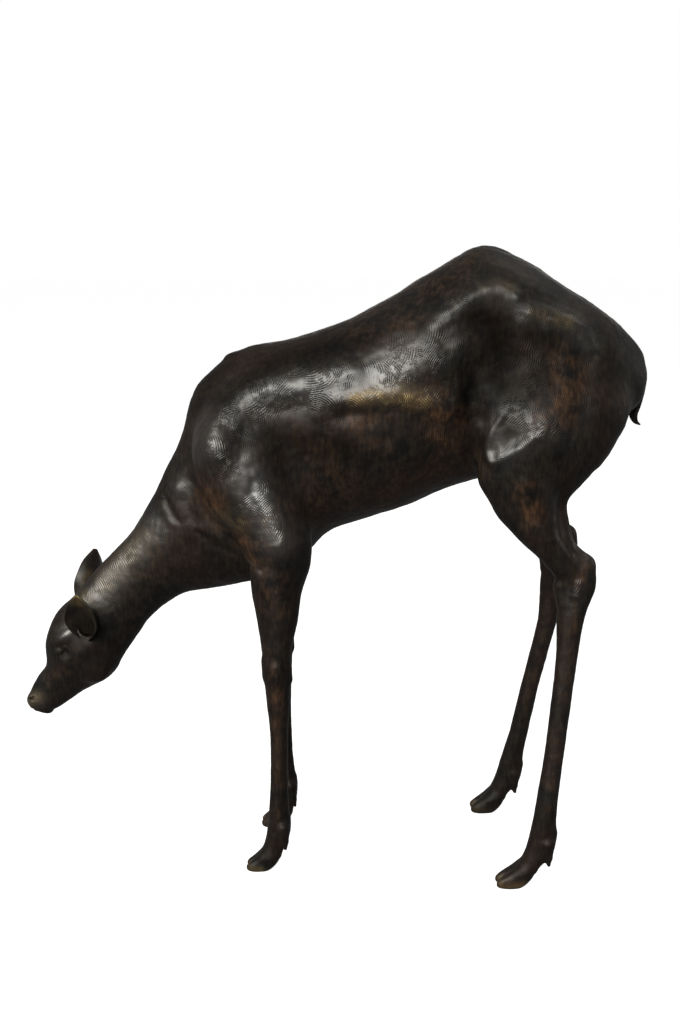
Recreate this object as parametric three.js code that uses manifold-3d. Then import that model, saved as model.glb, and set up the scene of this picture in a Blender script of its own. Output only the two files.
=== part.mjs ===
// Bronze statuette of a grazing doe, 420 mm tall, standing free on its four hooves.
// Millimetres, +Z up. The doe faces -X, its left side is at -Y and its soles lie at Z = 0.
// It is built as a foundry builds it: hollow castings that sleeve together, solid legs on tenons,
// dowel pins through every joint and plugs in the holes that the core pins left.
import * as THREE from 'three';
import { mergeVertices } from 'three/addons/utils/BufferGeometryUtils.js';
import Module from 'manifold-3d';

const wasm = await Module();
wasm.setup();

// Foundry sizes
const WALL = 4.5;          // wall of the hollow castings
const GAP = 0.3;           // clearance between neighbouring pieces
const SLEEVE_WALL = 3;
const SLEEVE_REACH = 8;    // how far a sleeve slides into its neighbour
const SLEEVE_ROOT = 4;     // length of sleeve that is one with its own casting
const PIN_INSET = 2.0;     // pins and plugs end this far below the chased surface
const PIN_RADIUS = 1.4;
const PLUG_RADIUS = 3;

// Loft resolution
const TRUNK_SIDES = 18;
const CORE_SIDES = 12;
const LEG_SIDES = 12;
const SMALL_SIDES = 8;
const SKIN_RINGS = 2;      // rings per span between two stations
const CORE_RINGS = 1;

// A station is [x, y, z, lean, halfDepth, halfWidth]. Lean is the tilt of the ring's depth axis
// from upright, in degrees, towards +X; at 90 the ring lies flat. Width is always along Y.
const TRUNK = [
  [205, 0, 336, 0, 10, 9],
  [201, 0, 336, 0, 20, 19],
  [181, 0, 339, -3, 38, 33],
  [153, 0, 340, -4, 56, 40],
  [125, 0, 343, -2, 69, 43],
  [100, 0, 344.5, -2, 75, 42],
  [71, 0, 332, -3, 71, 43],
  [45, 0, 318, -6, 67, 45],
  [18, 0, 307, -8, 64, 44],
  [-11, 0, 297, -11, 65, 42],
  [-36, 0, 285, -16, 72, 39],
  [-63, 0, 266, -18, 69, 34],
  [-79, 0, 247, -20, 52, 28],
  [-94.5, 0, 233, -18, 41, 24],
  [-107.5, 0, 221, -18, 32, 20],
  [-120.5, 0, 207, -22, 27, 17],
  [-133, 0, 196, -26, 27, 15],
  [-144, 0, 183, -30, 28, 15],
  [-156, 0, 166, -35, 27, 17],
  [-165.5, 0, 154.5, -45, 28, 18],
  [-173, 0, 141.5, -56, 24.5, 16],
  [-181, 0, 129, -54, 16, 12],
  [-189, 0, 121, -54, 14, 10],
  [-197, 0, 112, -58, 11, 9],
  [-202, 0, 108, -56, 8, 7],
  [-204.4, 0, 105.8, -54, 4, 4],
];
const HEAD_SEAM = 16.6;    // station numbers along the trunk where the castings meet
const NECK_SEAM = 12.4;
const TORSO_SEAM = 8;
const HOLLOW_FROM = 1;     // the hollow runs between these stations
const HOLLOW_TO = 19;

// Left hind leg, from the hip down to the coronet
const HIND_LEG = [
  [126, -16, 372, 90, 24, 16],
  [131, -23, 350, 90, 41, 22],
  [141, -28, 322, 90, 50, 23],
  [138, -32, 295, 90, 43, 21],
  [130.5, -34, 275, 90, 34.5, 17],
  [128.5, -35, 262, 90, 25.5, 14],
  [133, -36, 250, 90, 22, 12],
  [141.5, -38, 236, 90, 18.5, 10],
  [154.5, -39, 222, 90, 17.5, 9],
  [161, -40, 206, 90, 12.5, 7.5],
  [157.5, -42, 186, 90, 8.8, 6.5],
  [155.5, -44, 155, 90, 6.3, 5.6],
  [150.5, -48, 103, 90, 6, 5.4],
  [146, -51, 61, 90, 6.6, 6],
  [143.5, -52, 36, 90, 8.8, 7.5],
  [139.5, -52.5, 22, 90, 8.6, 8],
  [132.5, -52.5, 12, 78, 8.4, 8],
];
// Left fore leg, from the shoulder blade down to the coronet
const FORE_LEG = [
  [-48, -14, 345, 90, 18, 12],
  [-52, -22, 322, 90, 26, 18],
  [-56, -28, 298, 90, 29, 20],
  [-52, -31, 272, 90, 30, 19],
  [-38, -33, 248, 90, 27, 17],
  [-30, -34, 222, 90, 20, 14],
  [-33, -33, 200, 90, 15, 11],
  [-32.5, -33, 181, 90, 12.3, 9],
  [-33.3, -32, 160, 90, 9.6, 7.5],
  [-33, -32, 145, 90, 10.1, 8],
  [-32.6, -31.5, 125, 90, 7.2, 6],
  [-32, -31, 96, 90, 5.5, 5.2],
  [-32.4, -31, 60, 90, 5.9, 5.6],
  [-33.2, -31, 36, 90, 7.4, 7],
  [-35.5, -31, 20, 90, 7.8, 7.4],
  [-40, -31, 11, 80, 7.8, 7.6],
];
// The right hock stands back and the right hoof reaches forward: [z, shift along X]
const HIND_STRIDE = [
  [0, -6], [20, -8], [40, -7], [65, -4], [100, -2], [130, 1], [155, 3.5], [215, 4], [300, 0],
];
const FORE_STRIDE = [[0, 6], [25, 2], [60, 0], [130, -1.5], [220, -1.5], [300, 0]];

// Each claw of a hoof, from heel to toe: [distance from toe, height of centre, halfHeight, halfWidth]
const CLAW = [
  [24, 5, 3, 2.4],
  [20.5, 6, 6.2, 3.8],
  [13, 6.5, 8, 4.3],
  [6, 4.5, 6, 3.7],
  [1.5, 2.8, 3, 2],
  [0, 2.2, 1.4, 1],
];
const CLAW_SPREAD = 4.5;   // each claw's centre, to either side of the hoof's centre
const DEWCLAW = [[0, 9, 3.4], [1.6, 4, 3.4], [2.6, -1, 2.6], [3, -3.5, 1.2]]; // [back, up, radius]
const DEWCLAW_SPREAD = 4.6;
const DEWCLAW_Z = 18;

const LEFT = -1;
const RIGHT = 1;
const HIND = {
  stations: HIND_LEG,
  stride: HIND_STRIDE,
  cut: 258,                // height of the seam between torso and leg
  tenon: { radius: 7.5, length: 15 },
  toeX: 113,
  heelX: 147,
  hoofScale: 1,
};
const FORE = {
  stations: FORE_LEG,
  stride: FORE_STRIDE,
  cut: 184,
  tenon: { radius: 5.5, length: 13 },
  toeX: -54.5,
  heelX: -32,
  hoofScale: 0.92,
};

// Core plugs stand at these stations of the trunk, on the back and the belly.
const PLUG_STATIONS = { torso_front: 9.4, torso_rear: 6.3 };

// Ears: blades lofted from root to tip
const LEFT_EAR = { root: [-161, -13, 169], tip: [-166, -25, 195] };
const RIGHT_EAR = { root: [-166.5, 11.5, 178], tip: [-162.5, 26, 212] };
const EAR_WIDTHS = [3.5, 8, 11, 10.5, 7, 2];
const EAR_THICKNESS = 1.5; // half of the blade's thickness
const EAR_TANG = { radius: 1.6, inEar: 10, inHead: 3 };

// Tail: lies down the rump and flicks out at its tip
const TAIL = [
  [196, 0, 361, 55, 3, 5],
  [202.5, 0, 350, 75, 3.2, 6],
  [205.6, 0, 336, 92, 3, 6],
  [202.5, 0, 321, 100, 3, 5],
  [200.5, 0, 311, 90, 2.6, 3.6],
  [203, 0, 306.5, 50, 1.4, 2],
  [206, 0, 304.5, 45, 0.6, 0.8],
];
const TAIL_TANG = { z: 342, radius: 2, length: 9 };

const FINISH = {
  patina: { color: '#2a1d15', roughness: 0.42 },
  pin: { color: '#8a6236', roughness: 0.5 },
  plug: { color: '#7a5530', roughness: 0.5 },
};

// ---- geometry helpers ----

const vector = (x, y, z) => new THREE.Vector3(x, y, z);

// Rings between the stations, on a smooth curve through them.
function refine(stations) {
  const places = new THREE.CatmullRomCurve3(stations.map(([x, y, z]) => vector(x, y, z)), false, 'catmullrom');
  const shapes = new THREE.CatmullRomCurve3(stations.map((s) => vector(s[3], s[4], s[5])), false, 'catmullrom');
  const spans = stations.length - 1;
  return {
    at(station) {
      const place = places.getPoint(station / spans);
      const shape = shapes.getPoint(station / spans);
      const lean = THREE.MathUtils.degToRad(shape.x);
      return { place, lean, depth: shape.y, width: shape.z };
    },
  };
}

// One elliptical ring, drawn in by an inset.
function ring({ place, lean, depth, width }, sides, inset) {
  const up = vector(Math.sin(lean), 0, Math.cos(lean));
  const points = [];
  for (let k = 0; k < sides; k += 1) {
    const angle = (2 * Math.PI * k) / sides;
    const point = place.clone().addScaledVector(up, Math.cos(angle) * Math.max(depth - inset, 0.4));
    point.y += Math.sin(angle) * Math.max(width - inset, 0.4);
    points.push(point);
  }
  return points;
}

// Joins rings of equal size into one closed manifold solid, whichever way the rings run.
function skinRings(rings) {
  const sides = rings[0].length;
  const positions = rings.flat().flatMap((point) => point.toArray());
  const faces = [];
  for (let r = 0; r + 1 < rings.length; r += 1) {
    for (let k = 0; k < sides; k += 1) {
      const a = r * sides + k;
      const b = r * sides + ((k + 1) % sides);
      faces.push([a, b, b + sides], [a, b + sides, a + sides]);
    }
  }
  const top = (rings.length - 1) * sides;
  for (let k = 1; k + 1 < sides; k += 1) {
    faces.push([0, k + 1, k], [top, top + k, top + k + 1]);
  }
  const geometry = new THREE.BufferGeometry();
  geometry.setAttribute('position', new THREE.Float32BufferAttribute(positions, 3));
  const outward = signedVolume(positions, faces) > 0;
  geometry.setIndex(outward ? faces.flat() : faces.flatMap(([a, b, c]) => [a, c, b]));
  return toManifold(geometry);
}

function signedVolume(positions, faces) {
  const point = (i) => vector(positions[3 * i], positions[3 * i + 1], positions[3 * i + 2]);
  return faces.reduce((sum, [a, b, c]) => sum + point(a).dot(point(b).cross(point(c))), 0);
}

function toManifold(geometry) {
  const bare = geometry.clone();
  bare.deleteAttribute('normal');
  bare.deleteAttribute('uv');
  const merged = mergeVertices(bare, 1e-4);
  return new wasm.Manifold(new wasm.Mesh({
    numProp: 3,
    vertProperties: Float32Array.from(merged.attributes.position.array),
    triVerts: Uint32Array.from(merged.index.array),
  }));
}

function toGeometry(solid) {
  const mesh = solid.getMesh();
  const geometry = new THREE.BufferGeometry();
  geometry.setAttribute('position', new THREE.Float32BufferAttribute(mesh.vertProperties, 3));
  geometry.setIndex(Array.from(mesh.triVerts));
  geometry.computeVertexNormals();
  return geometry;
}

// A loft through stations, or through the part of them between two station numbers.
function loft(stations, sides, perSpan = SKIN_RINGS, inset = 0, from = 0, to = stations.length - 1) {
  const curve = refine(stations);
  const steps = Math.round((to - from) * perSpan);
  const rings = [];
  for (let i = 0; i <= steps; i += 1) {
    rings.push(ring(curve.at(from + ((to - from) * i) / steps), sides, inset));
  }
  return skinRings(rings);
}

const union = (solids) => solids.reduce((sum, solid) => sum.add(solid));

// A round bar between two points.
function bar(start, end, radius, sides = SMALL_SIDES) {
  const axis = end.clone().sub(start);
  const geometry = new THREE.CylinderGeometry(radius, radius, axis.length(), sides);
  const turn = new THREE.Quaternion().setFromUnitVectors(vector(0, 1, 0), axis.clone().normalize());
  geometry.applyQuaternion(turn);
  geometry.translate(...start.clone().add(end).multiplyScalar(0.5).toArray());
  return toManifold(geometry);
}

// A block that fills everything on one side of a plane, out to well beyond the doe.
function halfSpace(point, normal, offset) {
  const reach = 700;
  const geometry = new THREE.BoxGeometry(reach, reach, reach);
  geometry.translate(reach / 2 + offset, 0, 0);
  geometry.applyQuaternion(new THREE.Quaternion().setFromUnitVectors(vector(1, 0, 0), normal));
  geometry.translate(point.x, point.y, point.z);
  return toManifold(geometry);
}

const above = (z) => halfSpace(vector(0, 0, z), vector(0, 0, 1), GAP / 2);
const below = (z) => halfSpace(vector(0, 0, z), vector(0, 0, -1), GAP / 2);

// ---- seams across the trunk ----

const trunk = refine(TRUNK);

// A seam plane square to the trunk. Forward is the side towards the head.
function seam(station) {
  const { place, lean, depth, width } = trunk.at(station);
  const forward = vector(-Math.cos(lean), 0, Math.sin(lean));
  const up = vector(Math.sin(lean), 0, Math.cos(lean));
  return { place, forward, up, depth, width, station };
}

const ahead = (s, distance = GAP / 2) => halfSpace(s.place, s.forward, distance);
const behind = (s, distance = GAP / 2) => halfSpace(s.place, s.forward.clone().negate(), distance);
const core = (inset) => loft(TRUNK, CORE_SIDES, CORE_RINGS, inset, HOLLOW_FROM, HOLLOW_TO);

// The sleeve of the casting ahead of a seam, which slides back into the casting behind it.
function sleeve(s) {
  const bore = core(WALL + GAP + SLEEVE_WALL);
  const tube = core(WALL + GAP).intersect(ahead(s, -SLEEVE_REACH)).intersect(behind(s, -GAP));
  const root = core(WALL - 1).intersect(ahead(s)).intersect(behind(s, -SLEEVE_ROOT));
  return tube.add(root).subtract(bore);
}

// A section of the trunk that lies a little way behind a seam, in the middle of its sleeve.
function sleeveMiddle(s) {
  const step = 0.1;
  const stride = trunk.at(s.station - step).place.distanceTo(s.place) / step;
  return seam(s.station - SLEEVE_REACH / 2 / stride);
}

// ---- hooves and legs ----

// Straight-line interpolation in a table of [height, shift] rows that rise.
function shiftAt(table, z) {
  const next = table.findIndex(([height]) => height >= z);
  if (next <= 0) return next < 0 ? 0 : table[0][1];
  const [lowZ, lowShift] = table[next - 1];
  const [highZ, highShift] = table[next];
  return THREE.MathUtils.mapLinear(z, lowZ, highZ, lowShift, highShift);
}

// The left leg's stations, or the same mirrored to the right and moved by its stride.
function legStations(limb, side) {
  if (side === LEFT) return limb.stations;
  return limb.stations.map(([x, y, z, ...shape]) => [x + shiftAt(limb.stride, z), -y, z, ...shape]);
}

function claw(toeX, y, scale) {
  const rings = CLAW.map(([back, z, depth, width]) => {
    const place = vector(toeX + back * scale, y, z * scale);
    return ring({ place, lean: 0, depth: depth * scale, width: width * scale }, SMALL_SIDES, 0);
  });
  return skinRings(rings).intersect(halfSpace(vector(0, 0, 0), vector(0, 0, 1), 0));
}

function dewclaw(x, y, z) {
  const rings = DEWCLAW.map(([back, up, radius]) => {
    const place = vector(x + back, y, z + up);
    return ring({ place, lean: Math.PI / 2, depth: radius, width: radius }, SMALL_SIDES, 0);
  });
  return skinRings(rings);
}

// The whole limb as one solid, from the top of its loft to the soles.
function limbSolid(limb, side) {
  const stations = legStations(limb, side);
  const shift = side === LEFT ? 0 : limb.stride[0][1];
  const heelShift = side === LEFT ? 0 : shiftAt(limb.stride, DEWCLAW_Z);
  const hoofY = stations.at(-1)[1];
  const halves = [-1, 1].flatMap((half) => [
    claw(limb.toeX + shift, hoofY + half * CLAW_SPREAD * limb.hoofScale, limb.hoofScale),
    dewclaw(limb.heelX + heelShift, hoofY + half * DEWCLAW_SPREAD, DEWCLAW_Z),
  ]);
  return union([loft(stations, LEG_SIDES), ...halves]);
}

// The centre of a limb at a given height, found along its curve.
function limbCentre(limb, side, z) {
  const curve = refine(legStations(limb, side));
  let station = 0;
  while (curve.at(station).place.z > z) station += 0.02;
  return curve.at(station);
}

// ---- castings, pins and plugs ----

const statuette = new THREE.Group();

function addPiece(name, solid, finish) {
  const mesh = new THREE.Mesh(toGeometry(solid), new THREE.MeshStandardMaterial({ ...finish, metalness: 1 }));
  mesh.name = name;
  statuette.add(mesh);
}

const castings = {};
const limbs = {};
for (const [sideName, side] of Object.entries({ left: LEFT, right: RIGHT })) {
  for (const [limbName, limb] of Object.entries({ fore_leg: FORE, hind_leg: HIND })) {
    limbs[`${sideName}_${limbName}`] = { limb, side, solid: limbSolid(limb, side) };
  }
}

const trunkSkin = loft(TRUNK, TRUNK_SIDES);
const looseSkin = loft(TRUNK, TRUNK_SIDES, SKIN_RINGS, -GAP);
const trunkShell = trunkSkin.subtract(core(WALL));
const stumps = Object.values(limbs).map(({ limb, solid }) => solid.intersect(above(limb.cut)));
const bodyShell = union([trunkSkin, ...stumps]).subtract(core(WALL));
const seams = { head: seam(HEAD_SEAM), neck: seam(NECK_SEAM), torso_front: seam(TORSO_SEAM) };

castings.head = trunkShell.intersect(ahead(seams.head));
castings.neck = trunkShell.intersect(behind(seams.head)).intersect(ahead(seams.neck));
castings.torso_front = bodyShell.intersect(behind(seams.neck)).intersect(ahead(seams.torso_front));
castings.torso_rear = bodyShell.intersect(behind(seams.torso_front));

// Drills a clearance hole for a bar through the named castings.
function drill(names, start, end, radius) {
  const hole = bar(start, end, radius + GAP);
  for (const name of names) castings[name] = castings[name].subtract(hole);
}

// A dowel or plug set in from the outside: its hole is open there, and its end lies below the surface.
function setIn(name, names, surface, inward, length, radius, finish) {
  const at = (depth) => surface.clone().addScaledVector(inward, depth);
  const outer = at(PIN_INSET);
  const inner = at(PIN_INSET + length);
  drill(names, at(-WALL), at(PIN_INSET + length + GAP), radius);
  addPiece(name, bar(outer, inner, radius), finish);
}

// Four places around a section: on its left, right, top and bottom.
function around(s) {
  const across = vector(0, 1, 0);
  return {
    left: { surface: s.place.clone().addScaledVector(across, -s.width), inward: across.clone() },
    right: { surface: s.place.clone().addScaledVector(across, s.width), inward: across.clone().negate() },
    top: { surface: s.place.clone().addScaledVector(s.up, s.depth), inward: s.up.clone().negate() },
    bottom: { surface: s.place.clone().addScaledVector(s.up, -s.depth), inward: s.up.clone() },
  };
}

// Each forward casting slides a sleeve into the casting behind it, and dowels lock the two.
const joints = {
  head: { receiver: 'neck', dowels: ['left', 'right'] },
  neck: { receiver: 'torso_front', dowels: ['left', 'right'] },
  torso_front: { receiver: 'torso_rear', dowels: ['left', 'right', 'top', 'bottom'] },
};
for (const [owner, { receiver, dowels }] of Object.entries(joints)) {
  castings[owner] = castings[owner].add(sleeve(seams[owner]));
  const places = around(sleeveMiddle(seams[owner]));
  for (const where of dowels) {
    const { surface, inward } = places[where];
    const length = WALL + GAP + SLEEVE_WALL - PIN_INSET;
    setIn(`${owner}_dowel_${where}`, [owner, receiver], surface, inward, length, PIN_RADIUS, FINISH.pin);
  }
}

// Plugs in the core-pin holes, along the back and the belly.
for (const [name, station] of Object.entries(PLUG_STATIONS)) {
  const places = around(seam(station));
  for (const where of ['top', 'bottom']) {
    const { surface, inward } = places[where];
    setIn(`${name}_plug_${where}`, [name], surface, inward, WALL - PIN_INSET, PLUG_RADIUS, FINISH.plug);
  }
}

// Each leg stands on its tenon in a socket in the torso, with a cross dowel through both.
for (const [name, { limb, side, solid }] of Object.entries(limbs)) {
  const body = limb === FORE ? 'torso_front' : 'torso_rear';
  const { radius, length } = limb.tenon;
  const { place } = limbCentre(limb, side, limb.cut);
  const rise = (height) => vector(place.x, place.y, limb.cut + height);
  castings[body] = castings[body].subtract(bar(rise(-1), rise(length + GAP), radius + GAP));
  castings[name] = solid.intersect(below(limb.cut)).add(bar(rise(-2), rise(length), radius));
  const pin = limbCentre(limb, side, limb.cut + length / 2);
  const start = pin.place.clone().setY(pin.place.y - pin.width);
  const end = pin.place.clone().setY(pin.place.y + pin.width);
  const inset = vector(0, PIN_INSET, 0);
  drill([body, name], start.clone().sub(inset), end.clone().add(inset), PIN_RADIUS);
  addPiece(`${name}_dowel`, bar(start.clone().add(inset), end.clone().sub(inset), PIN_RADIUS), FINISH.pin);
}

// An ear: a blade lofted from root to tip, cut clear of the head, on a tang let into it.
function addEar(name, { root, tip }) {
  const start = vector(...root);
  const axis = vector(...tip).sub(start);
  const across = vector(1, 0, 0).projectOnPlane(axis).normalize();
  const through = across.clone().cross(axis).normalize();
  const rings = EAR_WIDTHS.map((halfWidth, index) => {
    const centre = start.clone().addScaledVector(axis, index / (EAR_WIDTHS.length - 1));
    return Array.from({ length: SMALL_SIDES }, (_, k) => {
      const angle = (2 * Math.PI * k) / SMALL_SIDES;
      return centre.clone().addScaledVector(across, halfWidth * Math.cos(angle))
        .addScaledVector(through, EAR_THICKNESS * Math.sin(angle));
    });
  });
  const along = axis.clone().normalize();
  const tangStart = start.clone().addScaledVector(along, EAR_TANG.inEar);
  const tangEnd = start.clone().addScaledVector(along, -EAR_TANG.inHead);
  drill(['head'], tangStart, tangEnd.clone().addScaledVector(along, -GAP), EAR_TANG.radius);
  castings[name] = skinRings(rings).subtract(looseSkin).add(bar(tangStart, tangEnd, EAR_TANG.radius));
}

addEar('left_ear', LEFT_EAR);
addEar('right_ear', RIGHT_EAR);

const tangOut = vector(trunk.at(0).place.x + GAP, 0, TAIL_TANG.z);
const tangIn = tangOut.clone().sub(vector(TAIL_TANG.length, 0, 0));
drill(['torso_rear'], tangOut, tangIn.clone().sub(vector(GAP, 0, 0)), TAIL_TANG.radius);
castings.tail = loft(TAIL, SMALL_SIDES).subtract(looseSkin).add(bar(tangOut, tangIn, TAIL_TANG.radius));

for (const [name, solid] of Object.entries(castings)) addPiece(name, solid, FINISH.patina);

export default statuette;
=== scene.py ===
"""Bronze statuette of a grazing doe: the sculpted skin, its patina, and a plain studio."""

import math
from contextlib import contextmanager

import bmesh
import bpy
import numpy as np
import openvdb
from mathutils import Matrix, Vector


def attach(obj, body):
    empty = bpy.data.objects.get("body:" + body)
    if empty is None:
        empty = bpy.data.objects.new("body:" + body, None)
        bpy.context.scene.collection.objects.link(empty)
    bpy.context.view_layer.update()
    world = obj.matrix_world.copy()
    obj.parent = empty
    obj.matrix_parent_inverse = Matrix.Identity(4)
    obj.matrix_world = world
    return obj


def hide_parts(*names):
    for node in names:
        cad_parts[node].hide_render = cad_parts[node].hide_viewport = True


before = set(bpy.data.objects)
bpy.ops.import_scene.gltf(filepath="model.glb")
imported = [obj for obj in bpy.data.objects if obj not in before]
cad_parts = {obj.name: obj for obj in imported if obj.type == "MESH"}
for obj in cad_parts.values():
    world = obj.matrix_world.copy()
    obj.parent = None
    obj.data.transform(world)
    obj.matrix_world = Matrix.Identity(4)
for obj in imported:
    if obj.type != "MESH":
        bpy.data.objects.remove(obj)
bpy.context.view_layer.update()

# ---- camera, light and floor

MM = 0.001
LENS, SENSOR = 40.78, 36         # millimetres
EYE = (0.0085, -0.755, 0.424)    # where the camera stands, in metres
LOOK_DOWN = 13.3                 # degrees below level
LAMP_COLOUR = (1, 0.985, 0.93)
# Each lamp's place, aim and size in metres, and its power in watts
LAMPS = {
    "key": ((-0.56, -1.33, 1.0), (0, 0, 0.27), (1.2, 0.5), 62),
    "side": ((-1.25, -0.95, 1.1), (-0.1, 0, 0.25), (0.7, 0.5), 30),
    "rim": ((0.6, 0.15, 1.5), (0.08, 0, 0.3), (0.9, 0.9), 9),
    "tail_fill": ((1.9, 0.3, 0.7), (0.1, 0, 0.3), (0.8, 0.8), 5),
    "far_fill": ((0.3, 1.6, 0.45), (0, 0, 0.25), (1.4, 0.8), 6),
}
WORLD_GLOW = 0.34     # what the surroundings shine with; the camera sees them at 1
FLOOR_REACH = 12      # metres
FLOOR_LOOK = {"Base Color": (0.24, 0.24, 0.24, 1), "Roughness": 0.9, "Specular IOR Level": 0.1,
              "Emission Color": (1, 1, 1, 1), "Emission Strength": 0.9}


def put_in_scene(name, data):
    made = bpy.data.objects.new(name, data)
    bpy.context.scene.collection.objects.link(made)
    return made


def make_camera():
    camera = put_in_scene("camera", bpy.data.cameras.new("camera"))
    camera.data.lens = LENS
    camera.data.sensor_width = SENSOR
    camera.data.clip_end = 20
    camera.location = EYE
    camera.rotation_euler = (math.radians(90 - LOOK_DOWN), 0, 0)
    bpy.context.scene.camera = camera


def make_light(name, location, target, size, energy):
    light = bpy.data.lights.new(name, "AREA")
    light.shape = "RECTANGLE"
    light.size, light.size_y = size
    light.energy = energy
    light.color = LAMP_COLOUR
    lamp = put_in_scene(name, light)
    lamp.location = location
    way = [t - p for t, p in zip(target, location)]
    lamp.rotation_euler = Vector(way).to_track_quat("-Z", "Y").to_euler()


def make_world():
    world = bpy.data.worlds.new("studio")
    world.use_nodes = True
    tree = world.node_tree
    glow = tree.nodes["Background"]
    glow.inputs["Color"].default_value = (1, 1, 1, 1)
    glow.inputs["Strength"].default_value = WORLD_GLOW
    backdrop = tree.nodes.new("ShaderNodeBackground")
    backdrop.inputs["Color"].default_value = (1, 1, 1, 1)
    path = tree.nodes.new("ShaderNodeLightPath")
    either = tree.nodes.new("ShaderNodeMixShader")
    tree.links.new(path.outputs["Is Camera Ray"], either.inputs["Fac"])
    tree.links.new(glow.outputs[0], either.inputs[1])
    tree.links.new(backdrop.outputs[0], either.inputs[2])
    tree.links.new(either.outputs[0], tree.nodes["World Output"].inputs["Surface"])
    bpy.context.scene.world = world
    bpy.context.scene.view_settings.view_transform = "Standard"


def make_floor():
    """A pale floor that shines a little of its own, so that it meets the backdrop without a line."""
    floor = put_in_scene("floor", bpy.data.meshes.new("floor"))
    corners = [(x * FLOOR_REACH, y * FLOOR_REACH, 0) for x, y in ((-1, -1), (1, -1), (1, 1), (-1, 1))]
    floor.data.from_pydata(corners, [], [(0, 1, 2, 3)])
    pale = bpy.data.materials.new("pale_floor")
    pale.use_nodes = True
    shader = pale.node_tree.nodes["Principled BSDF"]
    for name, value in FLOOR_LOOK.items():
        shader.inputs[name].default_value = value
    floor.data.materials.append(pale)
    floor.visible_glossy = False
    floor.visible_diffuse = False


make_camera()
make_world()
for name, settings in LAMPS.items():
    make_light(name, *settings)
make_floor()

# ---- the doe's lofts, in millimetres

# Trunk stations: x, z, lean of the ring from upright, half depth, half width, pinch of the back.
TRUNK = np.array([
    [205, 336, 0, 10, 9, 0], [201, 336, 0, 20, 19, 0.05], [181, 339, -3, 38, 33, -0.05],
    [153, 340, -4, 56, 39, -0.3], [125, 343, -2, 68, 41, -0.5], [101, 344.3, -2, 74.4, 40.5, -0.42],
    [71, 332.4, -3, 71.4, 43, -0.2], [45, 318.4, -6, 67.8, 44.5, -0.15],
    [18, 307, -8, 64.8, 43.5, -0.15], [-11, 297, -11, 65, 41.5, -0.12],
    [-36, 284.4, -16, 71.4, 39, 0.02], [-63, 266, -18, 68.2, 34, 0.18],
    [-78.4, 246.2, -20, 52.8, 28, 0.25], [-94.5, 233.3, -18, 42.8, 24, 0.2],
    [-107.5, 221.6, -18, 33.9, 20, 0.14], [-120.5, 207.4, -22, 27.8, 17, 0.1],
    [-132.6, 195.2, -26, 26.1, 15, 0.08], [-143.6, 182, -30, 26.8, 15, 0.06],
    [-156, 166, -35, 27, 17, 0.02], [-165.5, 154.5, -45, 28, 18, 0], [-173, 141.5, -56, 24.5, 16, 0],
    [-181, 129, -54, 16, 12, 0], [-189, 121, -54, 14, 10, 0], [-197, 112, -58, 11, 9, 0],
    [-202, 108, -56, 8, 7, 0], [-204.4, 105.8, -54, 4, 4, 0],
], float)
# Where the castings part, counted in stations
HEAD_SEAM, NECK_SEAM, TORSO_SEAM = 16.6, 12.4, 8

# Left limb stations: x, y, z, tilt of the ring, half depth, half width. At tilt 90 it lies flat.
HIND_LEG = np.array([
    [126, -16, 372, 90, 24, 16], [131, -20, 350, 90, 41, 20], [141, -27, 322, 90, 50, 22.4],
    [138, -32, 295, 90, 43, 21], [130.5, -34, 275, 90, 34.5, 17], [128.2, -35, 262, 90, 25.8, 14],
    [131.9, -36, 250, 90, 22.5, 12], [140.6, -38, 236, 90, 18, 10], [153.8, -39, 222, 90, 16, 9],
    [161.2, -40, 206, 90, 11.8, 7.5], [157.4, -42, 186, 90, 9.1, 6.7], [155.4, -44, 155, 90, 6.9, 5.8],
    [150.4, -48, 103, 90, 6.5, 5.5], [145.7, -51, 61, 90, 7, 6], [143.4, -52, 36, 90, 8.6, 7.5],
    [139.5, -52.5, 22, 90, 8.6, 8], [132.5, -52.5, 12, 78, 8.4, 8],
], float)
FORE_LEG = np.array([
    [-48, -8, 338, 90, 12, 7], [-52, -20, 318, 90, 24, 17], [-56, -28, 298, 90, 29, 20],
    [-52, -31, 272, 90, 30, 19], [-38.6, -33, 248, 90, 26.4, 17], [-30.8, -34, 222, 90, 20.6, 14],
    [-32.6, -33, 200, 90, 16.4, 11.4], [-32.4, -33, 181, 90, 13.5, 9.5], [-33.2, -32, 160, 90, 10, 8],
    [-33, -32, 145, 90, 9.2, 7.6], [-32.7, -31.5, 125, 90, 7.9, 6.2], [-32.4, -31, 96, 90, 5.9, 5.4],
    [-32.8, -31, 60, 90, 6.1, 5.6], [-33.4, -31, 36, 90, 7.2, 6.8], [-36, -31, 20, 90, 7.4, 7.2],
    [-40, -31, 11, 80, 7.8, 7.6],
], float)
# The right legs stand apart from the left ones by a shift along x that changes with height.
HIND_STRIDE = ([0, 20, 40, 65, 100, 130, 155, 215, 300], [-5.5, -7.5, -7, -4.2, -2.3, 0.6, 3.2, 3.8, 0])
FORE_STRIDE = ([0, 25, 60, 130, 220, 300], [7, 3, 0.6, -1.2, -1.5, 0])

# One claw of a hoof: distance back from the toe, height of centre, half height, half width
CLAW = np.array([
    [25, 15, 3, 2.2], [22, 11.5, 5.4, 3.6], [16, 8.2, 7.8, 4.8], [9, 5.4, 6.4, 4.7], [4, 3.7, 4.6, 3.8],
    [1, 2.9, 3, 2.6], [-0.6, 2.7, 1.4, 1.2],
], float)

CLAW_SPREAD, DEWCLAW_SPREAD = 3.5, 4.8    # from the leg's own plane to each side

LEFT, RIGHT = -1, 1
PER_SPAN = 6                              # rings from one station to the next
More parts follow.
